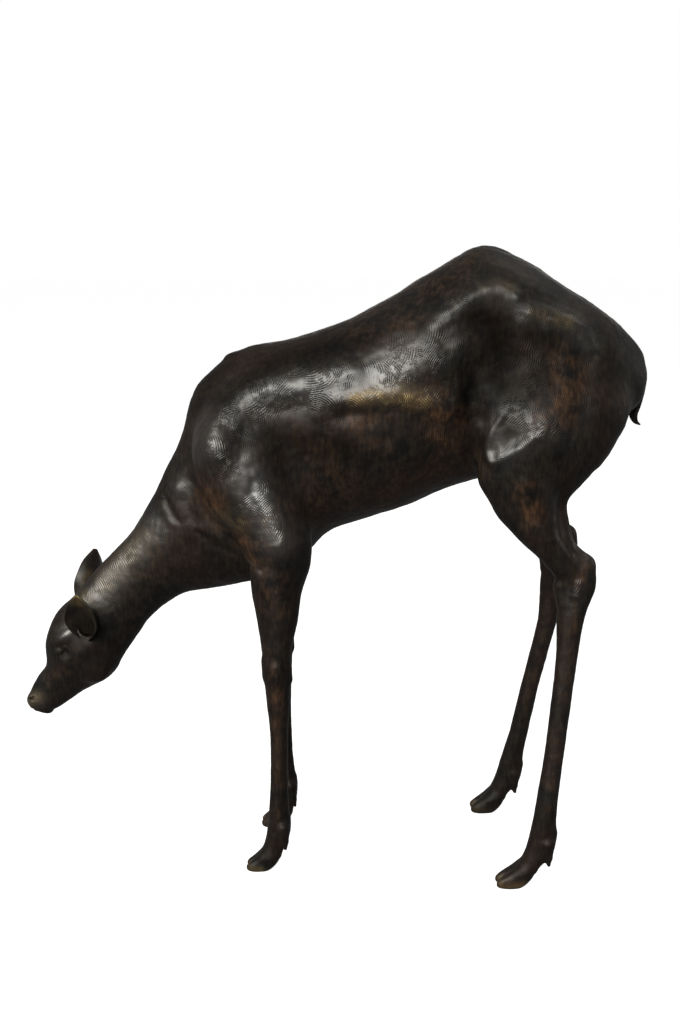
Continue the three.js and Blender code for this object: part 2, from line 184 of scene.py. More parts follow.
# Height at which the leg is parted from the trunk, and between which x; its toe and its dewclaws
# along x; how large its claws are
HIND = {"stations": HIND_LEG, "stride": HIND_STRIDE, "cut": 258, "span": (90, 220),
        "toe": 114, "heel": 147, "scale": 1}
FORE = {"stations": FORE_LEG, "stride": FORE_STRIDE, "cut": 184, "span": (-75, 20),
        "toe": -55.2, "heel": -29.4, "scale": 0.92}


def smooth_curve(stations):
    """Rows at even steps along the curve through the stations."""
    last = len(stations) - 1
    return np.array([curve_at(stations, place) for place in np.linspace(0, last, last * PER_SPAN + 1)])


def curve_at(stations, place):
    """The row at a place counted in stations, on a Catmull-Rom curve."""
    count = len(stations)
    i = min(int(place), count - 2)
    t = place - i
    p1, p2 = stations[i], stations[i + 1]
    p0 = stations[i - 1] if i > 0 else 2 * p1 - p2
    p3 = stations[i + 2] if i + 2 < count else 2 * p2 - p1
    return 0.5 * (2 * p1 + (p2 - p0) * t + (2 * p0 - 5 * p1 + 4 * p2 - p3) * t * t
                  + (3 * p1 - p0 - 3 * p2 + p3) * t ** 3)


def oval(centre, lean, depth, width, pinch=0, sides=40):
    """A ring whose depth axis leans from upright by an angle in degrees."""
    angle = np.linspace(0, 2 * math.pi, sides, endpoint=False)
    up = math.sin(math.radians(lean)), math.cos(math.radians(lean))
    rise = np.cos(angle) * max(depth, 0.3)
    side = np.sin(angle) * max(width, 0.3) * (1 - pinch * np.maximum(np.cos(angle), 0) ** 1.5)
    return np.stack([centre[0] + up[0] * rise, centre[1] + side, centre[2] + up[1] * rise], 1)


def trunk_rings():
    return [oval((x, 0, z), lean, depth, width, pinch, 56)
            for x, z, lean, depth, width, pinch in smooth_curve(TRUNK)]


def limb_rings(limb):
    return [oval((x, y, z), lean, depth, width)
            for x, y, z, lean, depth, width in smooth_curve(limb["stations"])]


def claw_rings(limb, half):
    scale = limb["scale"]
    y = limb["stations"][-1][1] + half * CLAW_SPREAD * scale
    return [oval((limb["toe"] + back * scale, y, z * scale), 0, depth * scale, width * scale, 0, 24)
            for back, z, depth, width in smooth_curve(CLAW)]


# ---- clay: distances on a grid

BAND = 14.0     # how far from the surface distances are kept, in millimetres


class Clay:
    """Part of the doe as distances to its surface on a regular grid. Negative is inside."""

    def __init__(self, low, high, step, band=BAND):
        self.step = step
        self.band = band
        self.first = [math.floor(c / step) for c in low]
        self.shape = [math.ceil(c / step) - f + 1 for c, f in zip(high, self.first)]
        self.field = np.full(self.shape, band, np.float32)

    def merge(self, window, distance, blend):
        """Joins a shape, rounding the corner between the two over the width of the blend."""
        held = self.field[window]
        if blend > 0:
            share = np.clip(0.5 + 0.5 * (distance - held) / blend, 0, 1)
            joined = distance + (held - distance) * share - blend * share * (1 - share)
        else:
            joined = np.minimum(held, distance)
        self.field[window] = joined

    def loft(self, rings, blend=0):
        """Joins a skin stretched over rings of equal size."""
        points = np.concatenate(rings).astype(np.float32)
        sides, count = len(rings[0]), len(rings)
        base = np.arange(count - 1)[:, None] * sides
        k = np.arange(sides)[None, :]
        after = (k + 1) % sides
        quads = np.stack([base + k, base + after, base + after + sides, base + k + sides], -1)
        fans = [[s, s + i, s + i + 1] for s in (0, (count - 1) * sides) for i in range(1, sides - 1)]
        grid = openvdb.FloatGrid.createLevelSetFromPolygons(
            points, triangles=np.array(fans, np.uint32),
            quads=quads.reshape(-1, 4).astype(np.uint32),
            transform=openvdb.createLinearTransform(voxelSize=self.step),
            halfWidth=self.band / self.step)
        distance = np.full(self.shape, self.band, np.float32)
        grid.copyToArray(distance, ijk=tuple(self.first))
        self.merge((slice(None),) * 3, distance, blend)

    def window(self, low, high):
        """The part of the grid within a box, and its coordinates along each axis."""
        parts, axes = [], []
        for axis in range(3):
            start = max(math.floor(low[axis] / self.step) - self.first[axis], 0)
            end = min(math.ceil(high[axis] / self.step) - self.first[axis] + 1, self.shape[axis])
            if end <= start:
                return None, None
            parts.append(slice(start, end))
            coords = (np.arange(start, end) + self.first[axis]).astype(np.float32) * self.step
            axes.append(coords.reshape([-1 if a == axis else 1 for a in range(3)]))
        return tuple(parts), axes

    def near_bar(self, start, end, r0, r1, blend):
        """The window around a round bar, and the distances to the bar in it."""
        start, end = np.array(start, float), np.array(end, float)
        reach = max(r0, r1) + blend + 2
        window, axes = self.window(np.minimum(start, end) - reach, np.maximum(start, end) + reach)
        return window, window and bar_distance(axes, start, end, r0, r1)

    def bone(self, start, end, r0, r1, blend):
        """Joins a round bar between two points whose radius changes evenly."""
        window, distance = self.near_bar(start, end, r0, r1, blend)
        if window:
            self.merge(window, distance, blend)

    def carve(self, start, end, r0, r1, blend):
        """Takes a round bar away."""
        window, distance = self.near_bar(start, end, r0, r1, blend)
        if not window:
            return
        held, cut = self.field[window], -distance
        share = np.clip(0.5 - 0.5 * (cut - held) / blend, 0, 1)
        self.field[window] = cut + (held - cut) * share + blend * share * (1 - share)

    def ball(self, centre, radii, blend, turn=0):
        """Joins an ellipsoid, turned about y by an angle in degrees."""
        centre = np.array(centre, float)
        reach = max(radii) + blend + 2
        window, (x, y, z) = self.window(centre - reach, centre + reach)
        c, s = math.cos(math.radians(turn)), math.sin(math.radians(turn))
        dx, dy, dz = x - centre[0], y - centre[1], z - centre[2]
        u, v, w = dx * c + dz * s, dy, -dx * s + dz * c
        near = np.sqrt((u / radii[0]) ** 2 + (v / radii[1]) ** 2 + (w / radii[2]) ** 2)
        steep = np.sqrt((u / radii[0] ** 2) ** 2 + (v / radii[1] ** 2) ** 2 + (w / radii[2] ** 2) ** 2)
        self.merge(window, near * (near - 1) / np.maximum(steep, 1e-6), blend)

    def mesh(self):
        """The surface, as points and quads that face outwards."""
        field = self.field.copy()
        for axis in range(3):
            edge = [slice(None)] * 3
            for end in (0, -1):
                edge[axis] = end
                field[tuple(edge)] = np.maximum(field[tuple(edge)], self.step)
        grid = openvdb.FloatGrid(self.band)
        grid.copyFromArray(field, ijk=tuple(self.first))
        grid.transform = openvdb.createLinearTransform(voxelSize=self.step)
        points, quads = grid.convertToQuads(isovalue=0)
        return points.astype(float), quads.astype(int)


def bar_distance(axes, start, end, r0, r1):
    """Distance to a round bar with rounded ends."""
    along = end - start
    length2 = max(float(along @ along), 1e-9)
    away = [a - s for a, s in zip(axes, start)]
    t = np.clip(sum(w * c for w, c in zip(away, along)) / length2, 0, 1)
    gap = np.sqrt(sum((w - t * c) ** 2 for w, c in zip(away, along)))
    return gap - (r0 + (r1 - r0) * t)


# ---- relief: muscle, bone and tool marks

LATTICE, SEATS = 32, 24     # cells after which the noise and the pellets repeat


def value_noise(points, cell, seed):
    """Smooth random values from -1 to 1 on a lattice of the given cell size."""
    lattice = np.random.default_rng(seed).uniform(-1, 1, (LATTICE,) * 3)
    place = points / cell
    low = np.floor(place).astype(int)
    part = place - low
    part = part * part * (3 - 2 * part)
    total = np.zeros(len(points))
    for corner in np.ndindex(2, 2, 2):
        weight = np.prod(np.where(np.array(corner) == 1, part, 1 - part), axis=1)
        index = (low + corner) % LATTICE
        total += weight * lattice[index[:, 0], index[:, 1], index[:, 2]]
    return total


def pellets(points, cell, seed):
    """Rounded lumps with creases between them, like clay pressed on with a thumb. 0 to 1."""
    table = np.random.default_rng(seed).uniform(0.1, 0.9, (SEATS,) * 3 + (3,))
    place = points / cell
    low = np.floor(place).astype(int)
    nearest = np.full(len(points), 9.0)
    for step in np.ndindex(3, 3, 3):
        index = low + np.array(step) - 1
        wrapped = index % SEATS
        seat = index + table[wrapped[:, 0], wrapped[:, 1], wrapped[:, 2]]
        nearest = np.minimum(nearest, ((place - seat) ** 2).sum(1))
    return 1 - np.clip(np.sqrt(nearest), 0, 1)


def to_left(points):
    """Each point as if on the left side, with the right limbs brought back from their stride."""
    x, y, z = points.T
    stride = np.where(x > 60, np.interp(z, *HIND_STRIDE), np.interp(z, *FORE_STRIDE))
    return np.stack([x - np.where(y > 0, stride, 0), -np.abs(y), z], 1)


DEPTH_SHARE = 0.35     # across the doe, a feature fades at this share of its speed along her side


def near_line(points, line, width):
    """A bell that is 1 on a line of points and falls off around it. The width may change along it."""
    line = np.array(line, float)
    widths = np.broadcast_to(width, len(line)).astype(float)
    reach = 2.6 * widths.max()    # where the bell has fallen to a thousandth
    low, high = line.min(0) - reach, line.max(0) + reach
    low[1], high[1] = line[:, 1].min() - 30, line[:, 1].max() + 30
    inside = np.flatnonzero(((points > low) & (points < high)).all(1))
    result = np.zeros(len(points))
    if not len(inside):
        return result
    stretch = np.array([1, DEPTH_SHARE, 1])
    here = points[inside] * stretch
    best = np.full(len(inside), 9.0)
    for a, b, wa, wb in zip(line[:-1], line[1:], widths[:-1], widths[1:]):
        a, b = a * stretch, b * stretch
        way = b - a
        t = np.clip((here - a) @ way / max(way @ way, 1e-9), 0, 1)
        gap = np.linalg.norm(here - a - t[:, None] * way, axis=1)
        best = np.minimum(best, gap / (wa + (wb - wa) * t))
    result[inside] = np.exp(-best ** 2)
    return result


def near_spot(points, centre, along, across, turn=0):
    """A bell around a spot on the side, longer one way; turn is from x towards z, in degrees."""
    c, s = math.cos(math.radians(turn)), math.sin(math.radians(turn))
    dx, dy, dz = (points - np.array(centre, float)).T
    u, w = dx * c + dz * s, -dx * s + dz * c
    deep = dy * DEPTH_SHARE / max(along, across)
    return np.exp(-(u / along) ** 2 - (w / across) ** 2 - deep ** 2)


# Ridges and grooves: line on the left side, width, height (grooves are negative)
LINES = [
    # shoulder blade's spine, down to the point of the shoulder
    ([(-70, -40, 302), (-67, -38, 312), (-57, -35, 322), (-46, -32, 330), (-32, -29, 333),
      (-13, -30, 336), (0, -31, 340), (16, -33, 343)], [8, 7.5, 8, 9, 10, 10.5, 10, 9], 3.0),
    ([(-54, -46, 306), (-44, -43, 315), (-30, -40, 320), (-12, -42, 323), (0, -42, 322)],
     [8, 9, 9, 8, 5], -1.8),
    # upper edge of the ribs, with the hollow under it
    ([(-4, -41, 322), (15, -42, 326), (30, -42, 328), (46, -42, 328.5), (62, -42, 326), (76, -42, 321)],
     7, 2.4),
    # groove in front of the upper arm
    ([(-46, -48, 276), (-47.5, -48, 268), (-46, -49, 262)], 2.6, -0.7),
    # front of the breast, pectoral fold and crease at the base of the neck
    ([(-84, -24, 238), (-74, -26, 231), (-62, -28, 224), (-50, -36, 219), (-42, -44, 218)],
     [2, 3, 3, 2.5, 2], -1.3),
    ([(-80, -26, 240), (-68, -30, 234), (-56, -36, 226)], 5, 1.0),
    ([(-106, -15, 259), (-103, -18, 253), (-100, -21, 248), (-96, -24, 244)], [1.8, 2.6, 2.6, 2], -0.9),
    ([(-109, -15, 254), (-105.5, -18, 248), (-101, -22, 242.5)], 3.2, 0.5),
    ([(-88, -24, 270), (-90, -24, 258), (-86, -26, 247)], 5, -1.3),
    # rim around the boss on the upper arm
    ([(-28, -46, 255), (-26, -46, 248), (-26.5, -46, 242), (-30, -47, 237), (-36, -48, 236)],
     [1.6, 1.8, 1.8, 1.8, 1.5], 0.6),
    ([(-40, -49, 253), (-41.5, -49, 246)], 1.6, -0.5),
    # hip bone arch, pelvis and its hollow
    ([(62, -30, 366), (69, -29, 374), (77, -28, 380.5), (86, -26, 387), (94, -25, 392.5),
      (103, -25, 394.5), (111, -26, 393), (116.5, -29, 388.5)], [8, 7, 6, 5, 4, 3.6, 3.6, 3.6], 2.6),
    ([(125, -31, 380), (134, -30, 379), (146, -29, 375), (156, -29, 369), (163, -33, 358)], 5, 2.0),
    ([(94, -38, 372), (104, -40, 368), (107, -43, 354), (104, -46, 340)], [8, 10, 12, 11], -2.2),
    # flank hollow between the belly and the thigh
    ([(90, -44, 345), (91, -43, 328), (92, -41, 316)], [8, 8, 8], -3),
    ([(91, -43, 330), (92, -40, 308), (95, -32, 290)], [6, 7, 6], -1.6),
    # stifle: edge of the thigh, and the crescent below the flat of the knee
    ([(109, -45, 317), (104, -43, 310), (101, -42, 303), (99.5, -42, 296), (101, -43, 289)], 2.6, 1.2),
    ([(134, -49, 311), (130, -50, 307), (125, -50.5, 302.5), (119, -49, 297), (110, -47, 291.5),
      (104, -45, 287)], [2.8, 3.4, 3.6, 3.8, 4, 3.6], 1.7),
    # rear of the thigh, between the hamstring and the rump
    ([(160, -40, 352), (158, -44, 332), (154, -46, 312), (148, -47, 294)], 8, -1.4),
    # gaskin: shin muscle, groove, and the tendon down to the hock
    ([(124, -50, 276), (126, -50, 262), (134, -49, 248), (141, -48, 238)], 4, 1.2),
    ([(149, -46, 268), (147, -47, 254), (149, -47, 240), (156, -47, 229)], 3.6, -2.4),
    ([(160, -42, 240), (160, -43, 232), (163, -45, 226)], 2.4, -0.8),
]
# Swellings and hollows: centre on the left side, length, breadth, turn, height
SPOTS = [
    ((-69, -41, 293), 10, 8, 40, 3.4),       # point of the shoulder
    ((-48, -47, 301), 13, 10, 45, -2.2),
    ((-35, -48, 259), 16, 9, -65, 1.8),      # upper arm
    ((-29.5, -47, 236), 17, 8.5, -72, 5.0),  # its boss
    ((-69, -32, 251), 9, 7, 0, 2.2),         # breast
    ((-95, -18, 266), 8, 5, 60, 1.8),
    ((-17, -42, 232), 9, 8, 60, 0.6),        # elbow
    ((12, -43, 317.5), 11, 4.5, 8, -2.2),    # the eye-shaped hollow under the ribs
    ((54, -38, 345), 28, 13, 28, 3.2),       # loin
    ((24, -42, 286), 40, 24, 0, 0.6),        # barrel
    ((60, -40, 300), 26, 20, 0, 0.8),
    ((131, -47, 304), 19, 12, 20, 2.8),      # thigh
    ((114, -46, 303), 9, 6, 45, -1.4),       # flat of the knee
    ((127, -46, 285), 10, 8, -60, 1.0),
]


def anatomy(points):
    """How far muscle and bone stand out from the plain lofts, in millimetres."""
    left = to_left(points)
    height = np.zeros(len(points))
    for line, width, rise in LINES:
        height += near_line(left, line, width) * rise
    for centre, along, across, turn, rise in SPOTS:
        height += near_spot(left, centre, along, across, turn) * rise
    return height


def smoothstep(value, low, high):
    t = np.clip((value - low) / (high - low), 0, 1)
    return t * t * (3 - 2 * t)


def tool_marks(points):
    """The lumps and flats of hand modelling, in millimetres."""
    on_leg = smoothstep(points[:, 2], 250, 200) * smoothstep(points[:, 0], -70, -55)
    on_head = smoothstep(points[:, 0], -125, -150)
    fine = np.maximum(on_leg, on_head)
    coarse = 0.5 * pellets(points, 13, 3) - 0.25
    coarse += 0.4 * value_noise(points, 22, 5) + 0.16 * value_noise(points, 9, 7)
    small = 0.26 * (pellets(points, 6, 11) - 0.5) + 0.12 * value_noise(points, 4, 13)
    return coarse * (1 - 0.75 * fine) + small * (1 - 0.3 * fine)


# ---- patina

class Graph:
    """Builds a material's nodes. A socket given as a value is linked, and a number is set."""

    def __init__(self, name):
        self.material = bpy.data.materials.new(name)
        self.material.use_nodes = True
        self.tree = self.material.node_tree
        self.shader = self.tree.nodes["Principled BSDF"]

    def finish(self, looks):
        """Gives the shader its inputs, and hands over the material."""
        for name, value in looks.items():
            self.put(self.shader.inputs[name], value)
        return self.material

    def put(self, socket, value):
        if isinstance(value, bpy.types.NodeSocket):
            self.tree.links.new(value, socket)
        elif value is not None:
            socket.default_value = value

    def node(self, kind, values=(), **settings):
        made = self.tree.nodes.new("ShaderNode" + kind)
        for key, value in settings.items():
            setattr(made, key, value)
        for key, value in dict(values).items():
            self.put(made.inputs[key], value)
        return made

    def math(self, operation, a, b=None, c=None):
        made = self.node("Math", operation=operation)
        for socket, value in zip(made.inputs, (a, b, c)):
            self.put(socket, value)
        return made.outputs[0]

    def vector(self, operation, a, b=None):
        made = self.node("VectorMath", operation=operation)
        for socket, value in zip(made.inputs, (a, b)):
            self.put(socket, value)
        return made.outputs["Value" if operation in ("DOT_PRODUCT", "LENGTH") else "Vector"]

    def scaled(self, vector, factor):
        return self.node("VectorMath", {0: vector, "Scale": factor}, operation="SCALE").outputs["Vector"]

    def times(self, a, b):
        return self.math("MULTIPLY", a, b)

    def ramp(self, value, low, high, to_low=0.0, to_high=1.0):
        values = {"Value": value, "From Min": low, "From Max": high, "To Min": to_low, "To Max": to_high}
        return self.node("MapRange", values, interpolation_type="SMOOTHSTEP").outputs["Result"]

    def mix(self, factor, a, b):
        made = self.node("Mix", data_type="RGBA")
        self.put(made.inputs["Factor"], factor)
        first, second = (socket for socket in made.inputs if socket.type == "RGBA")
        self.put(first, a)
        self.put(second, b)
        return next(socket for socket in made.outputs if socket.type == "RGBA")

    def attribute(self, name):
        return self.node("Attribute", attribute_name=name, attribute_type="GEOMETRY").outputs["Fac"]

    def noise(self, place, scale, detail=3.0, rough=0.55):
        values = {"Vector": place, "Scale": scale, "Detail": detail, "Roughness": rough}
        return self.node("TexNoise", values).outputs["Fac"]


def comb_strokes(graph, place, cell, pitch, bend, seed):
    """Patches of parallel tool strokes, each patch leaning its own way. Height from 0 to 1."""
    moved = graph.vector("ADD", place, (seed, 0.31 * seed, 0.73 * seed))
    patch = graph.node("TexVoronoi", {"Vector": moved, "Scale": 1 / cell, "Randomness": 1.0})
    from_seat = graph.vector("SUBTRACT", moved, patch.outputs["Position"])
    turn = graph.vector("SUBTRACT", patch.outputs["Color"], (0.5, 0.5, 0.5))
    way = graph.vector("ADD", graph.vector("MULTIPLY", turn, (3.0, 0.6, 0.0)), (0.2, 0.0, 1.0))
    across = graph.vector("NORMALIZE", graph.vector("CROSS_PRODUCT", (0.0, 1.0, 0.0), way))
    along = graph.vector("CROSS_PRODUCT", (0.0, 1.0, 0.0), across)
    u = graph.vector("DOT_PRODUCT", from_seat, across)
    v = graph.vector("DOT_PRODUCT", from_seat, along)
    bowed = graph.math("MULTIPLY_ADD", graph.times(v, v), bend / cell, u)
    rows = graph.math("DIVIDE", bowed, pitch)
    phase = graph.math("MULTIPLY_ADD", graph.noise(place, 90.0, 2.0), 1.2, rows)
    wave = graph.math("SINE", graph.times(phase, 2 * math.pi))
    ridge = graph.math("POWER", graph.math("MULTIPLY_ADD", wave, 0.5, 0.5), 1.5)
    fade = graph.ramp(patch.outputs["Distance"], 0.75, 0.4)
    broken = graph.ramp(graph.noise(place, 250.0, 2.0), 0.36, 0.6)
    return graph.times(graph.times(ridge, fade), broken)


# Colours of the patina
BLACK, BROWN = (0.0019, 0.0018, 0.0017, 1), (0.0054, 0.0032, 0.0025, 1)
ORANGE, GOLD = (0.050, 0.0235, 0.0105, 1), (0.24, 0.17, 0.07, 1)
OLIVE, RIDGE = (0.013, 0.0115, 0.0085, 1), (0.034, 0.026, 0.019, 1)
PAINTED_SHADE_BLACK = (0.0010, 0.0010, 0.0009, 1)
WAX_SHINE = 0.14    # specular level of the wax where it is a little polished


def make_patina():
    """Black and brown clouds under wax, warm, rubbed, combed or polished by the piece's zones; gold
    painted on as highlights along the hip arch and the rump, and painted shade darkening the hollows and
    the top of the back.
    """
    g = Graph("patinated_bronze")
    place = g.node("TexCoord").outputs["Object"]
    comb, tint, rub_and_highlight, proud, polish, painted_shade = (
        g.attribute(name) for name in ("comb", "tint", "rub_and_highlight", "proud", "polish", "painted_shade"))
    wobble = g.node("TexNoise", {"Vector": place, "Scale": 60.0, "Detail": 1.0})
    warped = g.vector("ADD", place, g.scaled(
        g.vector("SUBTRACT", wobble.outputs["Color"], (0.5, 0.5, 0.5)), 0.002))
    first = comb_strokes(g, warped, cell=0.019, pitch=0.0015, bend=0.7, seed=0.0)
    second = comb_strokes(g, warped, cell=0.013, pitch=0.0012, bend=-0.5, seed=0.217)
    patchy = g.ramp(g.noise(place, 45.0, 2.0), 0.38, 0.62)
    stroke = g.math("ADD", g.times(first, patchy),
                    g.times(second, g.math("SUBTRACT", 1.0, patchy)))
    stroke = g.times(stroke, comb)
    grain = g.noise(place, 900.0, 3.0, 0.6)
    pits = g.noise(place, 260.0, 2.0, 0.5)

    cloud = g.ramp(g.noise(place, 22.0, 3.0), 0.4, 0.66)
    fibre = g.noise(g.vector("MULTIPLY", place, (1.0, 1.0, 0.28)), 420.0, 2.0, 0.6)
    speck = g.ramp(fibre, 0.38, 0.68)
    colour = g.mix(cloud, BLACK, BROWN)
    warm = g.times(tint, g.ramp(g.noise(place, 75.0, 3.0), 0.32, 0.68))
    warm = g.times(warm, g.math("MULTIPLY_ADD", speck, 0.75, 0.25))
    colour = g.mix(warm, colour, ORANGE)
    # gold where the patina is rubbed through, and gold painted as highlights on the hip arch's crest and
    # along the rump
    worn_and_highlit = g.times(rub_and_highlight, g.math("MULTIPLY_ADD", stroke, 0.9, 0.12))
    worn_and_highlit = g.times(worn_and_highlit, g.ramp(g.noise(place, 120.0, 3.0), 0.2, 0.52))
    colour = g.mix(worn_and_highlit, colour, GOLD)
    streak = g.times(g.ramp(fibre, 0.42, 0.66), 0.22)
    colour = g.mix(streak, colour, OLIVE)
    lift = g.math("MULTIPLY_ADD", stroke, 1.1, g.ramp(proud, 0.0, 1.0, 0.0, 0.6))
    lift = g.times(lift, g.ramp(g.noise(place, 150.0, 2.0), 0.3, 0.7))
    colour = g.mix(g.times(lift, 0.16), colour, RIDGE)
    # painted shade: hollows and the top of the back darkened towards black
    colour = g.mix(g.times(painted_shade, 0.6), colour, PAINTED_SHADE_BLACK)
    rough = g.math("MULTIPLY_ADD", g.noise(place, 60.0, 3.0), 0.2, g.ramp(polish, 0.0, 0.5, 0.42, 0.31))
    rough = g.math("MULTIPLY_ADD", stroke, 0.08, rough)
    sheen = g.math("MULTIPLY_ADD", polish, 3.6, 0.43)
    # and less glossy where shade is painted
    sheen = g.times(sheen, g.math("MULTIPLY_ADD", painted_shade, -0.85, 1.0))
    height = g.times(stroke, 0.32)
    height = g.math("MULTIPLY_ADD", grain, 0.03, height)
    height = g.math("MULTIPLY_ADD", pits, 0.10, height)
    bump = g.node("Bump", {"Height": height, "Strength": 1.0, "Distance": 0.001})
    return g.finish({
        "Base Color": colour, "Metallic": g.math("MULTIPLY_ADD", worn_and_highlit, 0.6, 0.25), "Roughness": rough,
        "Specular IOR Level": g.times(sheen, WAX_SHINE), "Normal": bump.outputs["Normal"]})


def make_bright_bronze():
    """The sawn and turned metal of the dowels and plugs, inside the statuette."""
    g = Graph("bright_bronze")
    place = g.node("TexCoord").outputs["Object"]
    cloud = g.noise(place, 160.0)
    turned = g.node("TexWave", {"Vector": place, "Scale": 900.0, "Distortion": 2.0})
    bump = g.node("Bump", {"Height": turned.outputs["Fac"], "Strength": 0.3, "Distance": 0.0001})
    return g.finish({
        "Base Color": g.mix(cloud, (0.30, 0.17, 0.07, 1), (0.48, 0.31, 0.14, 1)), "Metallic": 1.0,
        "Roughness": g.math("MULTIPLY_ADD", cloud, 0.2, 0.3), "Normal": bump.outputs["Normal"]})


PATINA = make_patina()
BRIGHT = make_bright_bronze()

# Where the brown has been rubbed through to the metal, and where gold is painted on as a highlight:
# line, width, strength
RUBBED_AND_HIGHLIT = [
    ([(16, -42, 328), (32, -42, 330), (46, -42, 331), (60, -42, 328)], [3.5, 5, 6, 5], 1.0),
    ([(-160, -13, 184), (-141, -12, 206), (-120, -12, 232)], 8, 0.45),
    ([(-164, -31, 196), (-164, -27, 191)], 4.5, 3.0),
    ([(-54, -35, 2), (-46, -36, 2)], 2.6, 1.6), ([(117, -57, 3), (130, -58, 3)], 3, 1.8),
    ([(-62, -40, 252), (-54, -42, 250)], 6, 0.4),
    ([(-207, 0, 112), (-200, -6, 116)], 4, 0.8), ([(-37, -48, 252), (-31, -47, 242)], 5, 0.2),
    # painted highlights: a bright line on the crest of the hip arch, and a streak along the rump
    ([(96, -26, 393), (104, -25, 395), (112, -26, 393)], 4, 0.9),
    ([(126, -31, 379), (148, -30, 374)], 4, 0.8),
]
# Where a warm orange brown shows: line, width, strength
WARMED = [
    ([(60, -42, 326), (78, -42, 314), (72, -42, 304)], 13, 0.8),
    ([(20, -44, 312), (38, -44, 306)], 12, 0.5),
    ([(-20, -36, 250), (40, -38, 262), (84, -34, 282)], 22, 0.28),
    ([(-75, -35, 262), (-58, -40, 244), (-45, -42, 226)], 13, 0.75),
    ([(-10, -42, 300), (5, -42, 280)], 16, 0.4),
    ([(146, -45, 350), (150, -46, 330), (140, -48, 318)], 13, 0.65),
    ([(124, -49, 270), (132, -48, 250)], 8, 0.9),
    ([(-36, -44, 222), (-33, -40, 190)], 9, 0.6),
    ([(-37, -38, 160), (-34, -37, 145), (-33, -36, 110)], 5, 0.6),
    ([(-33, -36, 110), (-33, -36, 40)], 3.5, 0.3),
    ([(158, -46, 200), (157, -48, 175), (154, -49, 130), (150, -52, 100), (146, -55, 60)], 4, 0.5),
    ([(166, -46, 220), (162, -46, 206)], 6, 0.7),
    ([(130, -62, 4), (120, -60, 4)], 4, 0.6), ([(-46, -37, 3), (-52, -36, 3)], 3, 0.6),
    ([(60, -20, 395), (90, -10, 412)], 16, 0.35),
    ([(20, -20, 368), (50, -24, 372)], 14, 0.3),
    ([(-120, -14, 212), (-100, -18, 230)], 12, 0.3),
    ([(-190, -10, 130), (-180, -14, 138)], 6, 0.3),
]
# Where the wax has been polished up by handling: line, width, strength
POLISHED = [
    ([(-72, -40, 298), (-66, -38, 310), (-50, -34, 325), (-30, -32, 331), (0, -34, 335), (30, -36, 340),
      (50, -36, 350)], 13, 1.0),
    ([(34, -38, 340), (54, -37, 348), (70, -33, 360)], 12, 0.6),
    ([(66, -30, 371), (77, -28, 381), (90, -26, 390), (103, -25, 395), (114, -27, 391)], 4.4, 1.3),
    ([(122, -31, 380), (150, -29, 373), (163, -33, 358)], 8, 0.8),
    ([(114, -46, 318), (128, -48, 311), (142, -48, 306)], 11, 0.4),
    ([(104, -43, 310), (101, -42, 294), (112, -46, 291), (134, -50, 310)], 6, 1.0),
    ([(-50, -47, 280), (-44, -48, 264), (-36, -48, 250), (-31, -47, 240)], 12, 1.6),
    ([(-38, -47, 254), (-31, -47, 240)], 9, 2.2), ([(-77, -33, 246), (-72, -35, 244)], 4, 0.8),
    ([(-160, -13, 184), (-141, -12, 206), (-125, -12, 226), (-112, -14, 240)], 11, 1.0),
    ([(-97, -18, 266), (-93, -19, 264)], 6, 0.8), ([(-106, -16, 252), (-101, -21, 246)], 3, 0.3),
    ([(-68, -32, 251), (-63, -34, 248)], 6, 1.0), ([(-48, -42, 218), (-34, -47, 216)], 4, 0.6),
    ([(0, -42, 328), (30, -42, 330), (62, -42, 329)], 7, 0.5),
    ([(-178, -16, 165), (-172, -17, 165)], 5, 1.3), ([(-204, -6, 114), (-198, -8, 114)], 6, 0.9),
    ([(-168, -30, 196), (-162, -24, 182)], 8, 0.6), ([(-166, 22, 208), (-164, 14, 184)], 10, 0.5),
    ([(-66, -40, 330), (-44, -12, 350), (80, -6, 404)], 10, 0.15),
    ([(136, -46, 276), (150, -46, 240), (166, -46, 222), (158, -46, 190)], 5, 0.5),
    ([(-36, -44, 222), (-33, -40, 190), (-34, -38, 165)], 5, 0.3),
    ([(158, -46, 200), (154, -49, 130), (147, -54, 64)], 5, 0.32),
    ([(116, -56, 5), (128, -56, 6)], 6, 0.25), ([(-54, -35, 5), (-44, -35, 6)], 5, 0.25),
]
# Painted shade: where the patina is painted dull and nearly black in hollows and along the top of the
# back, where shade falls: line, width, strength
PAINTED_SHADE_LINES = [
    ([(94, -36, 378), (106, -40, 368), (110, -43, 352), (108, -44, 336)], 14, 1.0),
    ([(120, -36, 366), (134, -38, 362)], 9, 0.7), ([(112, -46, 344), (132, -47, 342)], 10, 0.5),
    ([(58, -32, 372), (50, -30, 366)], 6, 0.5),
    ([(-66, -30, 326), (-40, -20, 343), (-10, -20, 352), (30, -24, 362)], 9, 0.8),
    ([(-34, -42, 305), (-14, -44, 300), (10, -44, 296)], 12, 0.9),
    ([(-54, -46, 304), (-40, -46, 312)], 6, 0.5),
    ([(90, -43, 340), (91, -43, 320), (94, -38, 298)], 7, 0.7),
    ([(-163, -24, 182), (-160, -17, 172)], 7, 0.8),
    ([(-60, -14, 346), (-74, -12, 334), (-84, -12, 318)], 7, 0.5),
    ([(40, -26, 366), (60, -22, 380), (74, -18, 394)], 8, 0.5),
]
